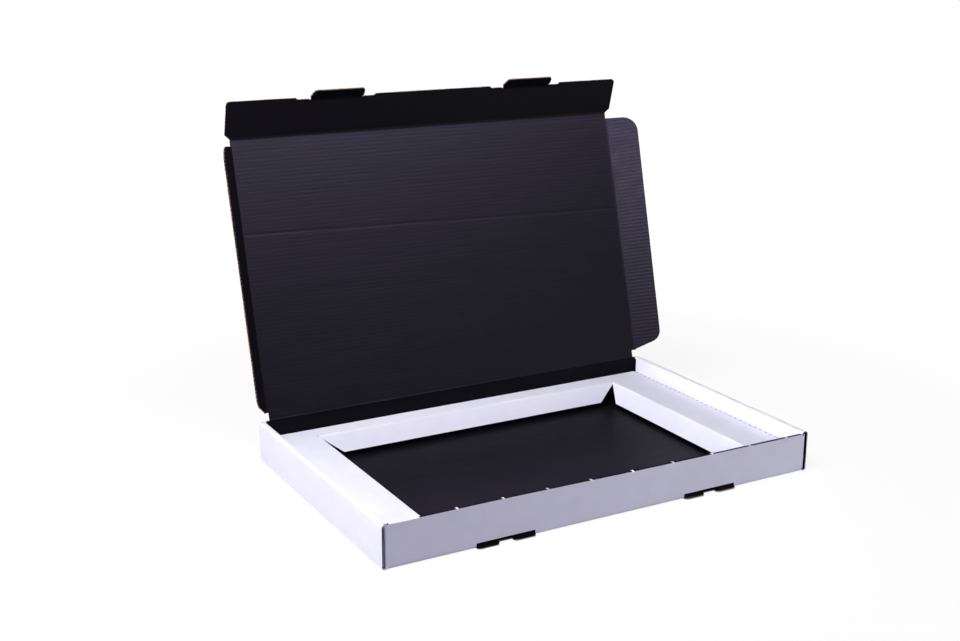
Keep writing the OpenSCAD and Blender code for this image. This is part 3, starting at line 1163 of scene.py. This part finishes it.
@dataclass
class FrontFlap(BoxPart):
    """The lid's front flap, notched where its lock tabs fold."""

    depth: float = 30.0
    chamfer: float = 3.5
    corner_r: float = 3.0
    notch_l: float = 67.0
    notch_d: float = 1.5

    @property
    def flare(self) -> float:
        """How much the flap widens at each end from its crease on, for its depth."""
        return (self.sizes.front_x - self.sizes.lid_x) / self.chamfer

    def build(self) -> bpy.types.Object:
        """Builds the flap and dresses it.

        Returns:
            The flap's piece.
        """
        reach = self.sizes.front_x
        axes = Axes(self.sizes.flap_hinge, X_AXIS, self.sizes.flap_way, self.sizes.flap_in)
        sheet = self.panel("front_flap", axes, (self.sizes.crease_zone, self.depth), (-reach, reach))
        outline = rounded([(-self.sizes.lid_x, 0, 0), (self.sizes.lid_x, 0, 0), (reach, self.chamfer, 0),
                           (reach, self.depth, self.corner_r), (-reach, self.depth, self.corner_r),
                           (-reach, self.chamfer, 0)])
        sheet.trim(outline)
        notches = [self._notch(side * self.sizes.slot_x) for side in (-1, 1)]
        sheet.cut([sheet.block(notch) for notch in notches], Cut.AWAY)
        return finish_piece("front_flap_board", [sheet], node="front_flap", body="front_flap")

    def _notch(self, x: float) -> Outline:
        """Gives the outline of a tab's notch, from the notch's middle."""
        floor, step = self.depth - self.notch_d, self.sizes.tab_crease_d
        half, tab, root = self.notch_l / 2, self.sizes.slot_l / 2, self.sizes.tab_root
        side = [(half + CUT_MARGIN, self.depth + CUT_MARGIN), (half - self.notch_d, floor), (tab, floor),
                (tab, step), (root, step), (root, step - self.sizes.tab_zone)]
        return [(x - a, b) for a, b in side] + [(x + a, b) for a, b in reversed(side)]


@dataclass
class LockTab(PairedPanel):
    """A lock tab on the front flap's free edge."""

    kind: ClassVar[str] = "lock_tab"
    fold: float = 35.0
    half_w: float = 22.2
    depth: float = 11.0
    ear_r: float = 1.0
    ear_d: float = 3.5
    taper: float = 1.6
    corner_r: float = 3.0

    @property
    def hinge(self) -> np.ndarray:
        """Middle of the tab's crease."""
        crease = self.sizes.flap_hinge + self.sizes.flap_way * self.sizes.tab_crease_d
        return crease + X_AXIS * self.side * self.sizes.slot_x

    @property
    def way(self) -> np.ndarray:
        """Direction from the crease to the tab's end."""
        fold = math.radians(self.fold)
        return math.cos(fold) * self.sizes.flap_way + math.sin(fold) * self.sizes.flap_in

    def build(self) -> bpy.types.Object:
        """Builds the tab and dresses it.

        Returns:
            The tab's piece.
        """
        root, wide, end = self.sizes.tab_root, self.half_w, self.half_w - self.taper
        axes = Axes(self.hinge, X_AXIS, self.way, inner_side(self.way))
        sheet = self.panel("tab", axes, (self.sizes.tab_zone, self.depth), (-wide, wide))
        outline = rounded([(-root, 0, 0), (root, 0, 0), (wide, self.ear_d, self.ear_r),
                           (end, self.depth, self.corner_r), (-end, self.depth, self.corner_r),
                           (-wide, self.ear_d, self.ear_r)])
        return self.finish(sheet.trim(outline))


@dataclass
class DustFlap(PairedPanel):
    """A dust flap on the lid's side edge."""

    kind: ClassVar[str] = "dust_flap"
    fold: float
    reach: float = 26.5
    slope: float = 18.0
    front_slope: float = 4.0
    lean: float = 0.6
    hinge_r: float = 10.0
    front_r: float = 13.0

    @property
    def hinge(self) -> np.ndarray:
        """Lid hinge's end of the crease."""
        return self.sizes.hinge + X_AXIS * self.side * self.sizes.lid_x

    @property
    def way(self) -> np.ndarray:
        """Direction from the crease to the flap's outer edge."""
        fold = math.radians(self.fold)
        return self.side * math.cos(fold) * X_AXIS + math.sin(fold) * self.sizes.lid_in

    @property
    def inner(self) -> np.ndarray:
        """Direction that the flap's inner face looks."""
        fold = math.radians(self.fold)
        return math.cos(fold) * self.sizes.lid_in - self.side * math.sin(fold) * X_AXIS

    def build(self) -> bpy.types.Object:
        """Builds the flap and dresses it.

        Returns:
            The flap's piece.
        """
        start, end = self.sizes.dust_start, self.sizes.dust_end
        axes = Axes(self.hinge, self.way, self.sizes.lid_way, self.inner)
        sheet = self.panel("dust_flap", axes, (start, end), (self.sizes.crease_zone, self.reach))
        outline = rounded([(0, start, 0), (*self._corner(start, self.slope), self.hinge_r),
                           (*self._corner(end, -self.front_slope), self.front_r), (0, end, 0)], steps=10)
        return self.finish(sheet.trim(outline))

    def _corner(self, foot: float, slope: float) -> tuple[float, float]:
        """Finds where an end edge meets the leaning outer edge.

        Args:
            foot: Where the end edge starts on the crease.
            slope: The end edge's slope, in degrees.

        Returns:
            The corner, from the crease and along it.
        """
        rise, lean = math.tan(math.radians(slope)), math.tan(math.radians(self.lean))
        out = (self.reach - (self.sizes.dust_end - foot) * lean) / (1 - rise * lean)
        return out, foot + out * rise


@dataclass
class CreaseStrip:
    """A scored crease between two panels: both liners run through it, and the flutes are crushed."""

    name: str
    board: CorrugatedBoard
    bodies: tuple[str, str]
    middle: np.ndarray
    axis: np.ndarray
    ways: tuple[np.ndarray, np.ndarray]
    outsides: tuple[np.ndarray, np.ndarray]
    span: tuple[float, float]
    zone: float
    flare: float = 0.0
    rows: int = 16
    softness: float = 0.45
    bead: float = 0.12
    bead_w: float = 0.55
    pinch: float = 0.5
    pinch_w: float = 0.9
    wrinkle: float = 0.05
    wrinkle_pitch: float = 5.0
    seed: int = 7

    def build(self) -> bpy.types.Object:
        """Builds the strip's three papers, dresses them and lays them curved from the one panel's way to the
        other's.

        Returns:
            The strip's piece.
        """
        length = self.span[1] - self.span[0]
        across = np.linspace(*self.span, max(2, round(length / self.wrinkle_pitch)) + 1)
        along = np.linspace(-self.zone, self.zone, self.rows + 1)
        drawn = np.random.default_rng(self.seed).normal(0.0, self.wrinkle, len(across))
        pieces = []
        for layer in Layer:
            surface = self._surface(layer, across, drawn)
            paper = lay_sheet(f"{self.name}_{layer.value}", across, along, surface)
            thickness = self.board.half if layer is Layer.MEDIUM else self.board.liner
            thicken(paper, layer, PRINTED_BOARD, thickness)
            pieces.append(paper)
        strip = join(self.name, pieces)
        bpy.ops.object.shade_smooth_by_angle(angle=SMOOTH_ANGLE)
        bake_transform(strip)
        LOG.info("%s: %d faces", self.name, len(strip.data.polygons))
        return strip

    def _surface(self, layer: Layer, across: np.ndarray, drawn: np.ndarray) -> Surface:
        """Gives the surface that one paper of the strip is laid on.

        Args:
            layer: Which paper.
            across: Places of the wrinkles along the crease.
            drawn: Heights of the wrinkles.

        Returns:
            The surface.
        """
        def surface(wide: np.ndarray, long: np.ndarray) -> tuple[np.ndarray, np.ndarray]:
            """Gives the paper's open face and the side that it faces."""
            root = np.sqrt(long ** 2 + self.softness ** 2)
            first, second = (root - long) / 2, (root + long) / 2
            share = ease((long / self.zone + 1) / 2)[:, None]
            outer = (1 - share) * self.outsides[0] + share * self.outsides[1]
            outer = outer / np.linalg.norm(outer, axis=1)[:, None]
            near = np.exp(-(long / self.bead_w) ** 2)
            ripple = np.interp(wide, across, drawn) * near
            inner = -self.bead * near + ripple
            depth = self.board.thickness - self.pinch * np.exp(-(long / self.pinch_w) ** 2)
            heights = {Layer.INNER: inner, Layer.MEDIUM: inner + depth / 2, Layer.OUTER: depth + ripple}
            wide = wide * (1 + self.flare * np.maximum(0.0, long) / self.span[1])
            points = self.middle + wide[:, None] * self.axis + first[:, None] * self.ways[0]
            points = points + second[:, None] * self.ways[1] + heights[layer][:, None] * outer
            return points, outer * layer.side

        return surface


class Gives(Enum):
    """What a lamp gives: all its light, only sheen on glossy faces, or only even light on matt ones."""

    ALL = "all"
    SHEEN = "sheen"
    EVEN = "even"


@dataclass(frozen=True)
class SoftBox:
    """A soft studio lamp, in metres and watts."""

    name: str
    place: tuple[float, float, float]
    aim: tuple[float, float, float]
    size: tuple[float, float]
    power: float
    colour: str = "#FFFFFF"
    gives: Gives = Gives.ALL

    def build(self) -> None:
        """Sets the lamp up, unseen by the camera."""
        bpy.ops.object.select_all(action="DESELECT")
        bpy.ops.object.light_add(type="AREA", location=self.place)
        lamp = bpy.context.object
        lamp.name = self.name
        lamp.data.shape = "RECTANGLE"
        lamp.data.size, lamp.data.size_y = self.size
        lamp.data.energy = self.power
        lamp.data.color = linear(self.colour)[:3]
        lamp.visible_camera = False
        lamp.visible_diffuse = self.gives is not Gives.SHEEN
        lamp.visible_glossy = self.gives is not Gives.EVEN
        way = Vector(self.aim) - Vector(self.place)
        lamp.rotation_euler = way.to_track_quat("-Z", "Y").to_euler()


@dataclass
class Studio:
    """The white table, the light and the camera."""

    lamps: Sequence[SoftBox]
    table_size: float = 8.0
    table_drop: float = 0.0002
    table_colour: str = "#908CA0"
    table_white: str = "#FAFAFA"
    table_glow: float = 1.03
    shadow_share: float = 0.15
    shadow_near: float = 0.3
    shadow_far: float = 0.6
    ambient: float = 0.1
    ambient_colour: str = "#DCD8FA"
    camera_place: tuple[float, float, float] = (-0.512715, -0.830004, 0.391099)
    camera_right: tuple[float, float, float] = (0.871590, -0.490221, 0.003713)
    camera_down: tuple[float, float, float] = (-0.131203, -0.240559, -0.961726)
    camera_way: tuple[float, float, float] = (0.472352, 0.837744, -0.273988)
    focal_px: float = 1385.01
    image_px: float = 960.0
    sensor: float = 36.0
    clip_start: float = 0.01

    def build(self) -> None:
        """Sets up the view, the light, the table and the camera."""
        bpy.context.scene.view_settings.view_transform = "Standard"
        for lamp in self.lamps:
            lamp.build()
        self._world()
        self._table()
        self._camera()

    def _seen(self, tree: bpy.types.NodeTree) -> bpy.types.NodeSocket:
        """Adds the test for rays that see the background: camera, glossy and transmission rays."""
        path = add_node(tree, "ShaderNodeLightPath", {}, {}).outputs
        seen = add_node(tree, "ShaderNodeMath", {"operation": "MAXIMUM"}, {})
        tree.links.new(path["Is Camera Ray"], seen.inputs[0])
        tree.links.new(path["Is Glossy Ray"], seen.inputs[1])
        both = add_node(tree, "ShaderNodeMath", {"operation": "MAXIMUM"}, {})
        tree.links.new(seen.outputs[0], both.inputs[0])
        tree.links.new(path["Is Transmission Ray"], both.inputs[1])
        return both.outputs[0]

    def _world(self) -> None:
        """Makes the background white to the eye, and dim as a light."""
        world = bpy.data.worlds.new("studio")
        bpy.context.scene.world = world
        tree = empty_tree(world)
        seen = self._seen(tree)
        level = add_node(tree, "ShaderNodeMapRange", {"To Min": self.ambient, "To Max": 1.0},
                         {"Value": seen})
        tint = add_node(tree, "ShaderNodeMixRGB",
                        {"Color1": linear(self.ambient_colour), "Color2": (1, 1, 1, 1)}, {"Fac": seen})
        sky = add_node(tree, "ShaderNodeBackground", {},
                       {"Color": tint.outputs["Color"], "Strength": level.outputs["Result"]})
        add_node(tree, "ShaderNodeOutputWorld", {}, {"Surface": sky.outputs["Background"]})

    def _table(self) -> None:
        """Adds the table: white to the eye with a soft shadow, and plain grey as a reflector of light."""
        bpy.ops.object.select_all(action="DESELECT")
        bpy.ops.mesh.primitive_plane_add(size=self.table_size, location=(0, 0, -self.table_drop))
        table = bpy.context.object
        table.name = "table"
        material = bpy.data.materials.new("white_table")
        tree = empty_tree(material)
        seen = self._seen(tree)
        place = add_node(tree, "ShaderNodeTexCoord", {}, {}).outputs["Object"]
        away = add_node(tree, "ShaderNodeVectorMath", {"operation": "LENGTH"}, {"Vector": place})
        bright = add_node(tree, "ShaderNodeMapRange",
                          {"From Min": self.shadow_near, "From Max": self.shadow_far,
                           "To Min": 1 - self.shadow_share, "To Max": 1.0}, {"Value": away.outputs["Value"]})
        share = add_node(tree, "ShaderNodeMapRange", {"To Min": 0.0},
                         {"Value": seen, "To Max": bright.outputs["Result"]})
        coat = add_node(tree, "ShaderNodeMixRGB",
                        {"Color1": linear(self.table_colour), "Color2": linear(self.table_white)},
                        {"Fac": seen})
        paint = add_node(tree, "ShaderNodeBsdfDiffuse", {}, {"Color": coat.outputs["Color"]})
        glow = add_node(tree, "ShaderNodeEmission",
                        {"Color": (1, 1, 1, 1), "Strength": self.table_glow}, {})
        mix = add_node(tree, "ShaderNodeMixShader", {}, {"Fac": share.outputs["Result"]})
        tree.links.new(paint.outputs["BSDF"], mix.inputs[1])
        tree.links.new(glow.outputs["Emission"], mix.inputs[2])
        add_node(tree, "ShaderNodeOutputMaterial", {}, {"Surface": mix.outputs["Shader"]})
        table.data.materials.append(material)

    def _camera(self) -> None:
        """Sets the camera at the photograph's place, angle and field of view."""
        bpy.ops.object.select_all(action="DESELECT")
        bpy.ops.object.camera_add()
        camera = bpy.context.object
        camera.data.sensor_fit = "HORIZONTAL"
        camera.data.sensor_width = self.sensor
        camera.data.lens = self.focal_px * self.sensor / self.image_px
        camera.data.clip_start = self.clip_start
        right, down, way = (Vector(v) for v in (self.camera_right, self.camera_down, self.camera_way))
        turn = Matrix((right, -down, -way)).transposed()
        camera.matrix_world = Matrix.Translation(self.camera_place) @ turn.to_4x4()
        bpy.context.scene.camera = camera


def build_creases(sizes: BoxSizes, board: CorrugatedBoard, flare: float, tabs: Sequence[LockTab],
                  dust_flaps: Sequence[DustFlap]) -> None:
    """Builds the crease strips between the panels.

    Args:
        sizes: The box's sizes.
        board: The board.
        flare: How much the front flap widens at each end from its crease on, for its depth.
        tabs: The lock tabs.
        dust_flaps: The dust flaps.
    """
    zone, reach = sizes.crease_zone, sizes.lid_x
    CreaseStrip("lid_crease", board, ("tray", "lid"), sizes.hinge, X_AXIS, (-Z_AXIS, sizes.lid_way),
                (Y_AXIS, -sizes.lid_in), (-sizes.hinge_x, sizes.hinge_x), zone).build()
    CreaseStrip("front_flap_crease", board, ("lid", "front_flap"), sizes.flap_hinge, X_AXIS,
                (-sizes.lid_way, sizes.flap_way), (-sizes.lid_in, -sizes.flap_in),
                (-reach, reach), zone, flare, seed=11).build()
    for tab in tabs:
        CreaseStrip(f"{tab.label}_crease", board, ("front_flap", tab.label), tab.hinge, X_AXIS,
                    (-sizes.flap_way, tab.way), (-sizes.flap_in, -inner_side(tab.way)),
                    (-sizes.tab_root, sizes.tab_root), sizes.tab_zone, seed=13).build()
    for flap in dust_flaps:
        CreaseStrip(f"{flap.label}_crease", board, ("lid", flap.label), flap.hinge, sizes.lid_way,
                    (-flap.side * X_AXIS, flap.way), (-sizes.lid_in, -flap.inner),
                    (sizes.dust_start, sizes.dust_end), zone, seed=17).build()


# How far the left and the right dust flap stand folded in from the lid's plane, in degrees
DUST_FOLDS = {-1: 60.0, 1: 38.0}
SHEEN_COLOUR = "#DCD0FF"
# The fills at the back and the right keep the sides that the photograph doesn't show from going dark
LAMPS = (
    SoftBox("key_left", (-2.5, -0.2, 0.2), (0.0, 0.0, 0.03), (1.2, 0.36), 36.0),
    SoftBox("top_fill", (-0.8, -0.22, 1.3), (0.0, 0.0, 0.0), (1.0, 0.8), 9.7),
    SoftBox("box_fill", (-0.14, -0.1, 0.38), (0.0, 0.08, 0.0), (0.3, 0.1), 0.98, gives=Gives.EVEN),
    SoftBox("back_fill", (0.0, 2.5, 0.16), (0.0, 0.1, 0.1), (1.2, 0.28), 30.0, gives=Gives.EVEN),
    SoftBox("right_fill", (2.5, 0.6, 0.16), (0.1, 0.0, 0.05), (1.0, 0.28), 24.0, gives=Gives.EVEN),
    SoftBox("front_right_fill", (0.55, -0.6, 0.11), (0.1, -0.1, 0.0), (0.4, 0.2), 1.6),
    SoftBox("lid_sheen", (0.42, -0.65, 0.9), (0.0, 0.15, 0.2), (0.9, 0.35), 94.0, SHEEN_COLOUR,
            Gives.SHEEN),
    SoftBox("flap_sheen", (-0.75, -0.9, 0.8), (0.17, 0.13, 0.2), (0.5, 0.5), 128.0, SHEEN_COLOUR,
            Gives.SHEEN),
    SoftBox("floor_sheen", (0.3, 0.5, 1.2), (0.0, 0.0, 0.0), (0.5, 0.5), 65.0, SHEEN_COLOUR,
            Gives.SHEEN),
)


def main() -> None:
    """Builds the box piece by piece, then the studio."""
    logging.basicConfig(level=logging.INFO, format="%(name)s: %(message)s")
    sizes = BoxSizes.read()
    board = CorrugatedBoard(sizes.board_t)
    front_flap = FrontFlap(sizes, board)
    tabs = [LockTab(sizes, board, side) for side in (-1, 1)]
    dust_flaps = [DustFlap(sizes, board, side, fold) for side, fold in DUST_FOLDS.items()]
    fixed = [kind(sizes, board) for kind in (Tray, FrameInsert, Lid)]
    for part in (*fixed, front_flap, *tabs, *dust_flaps):
        part.build()
    build_creases(sizes, board, front_flap.flare, tabs, dust_flaps)
    Studio(LAMPS).build()


if __name__ == "__main__":
    main()
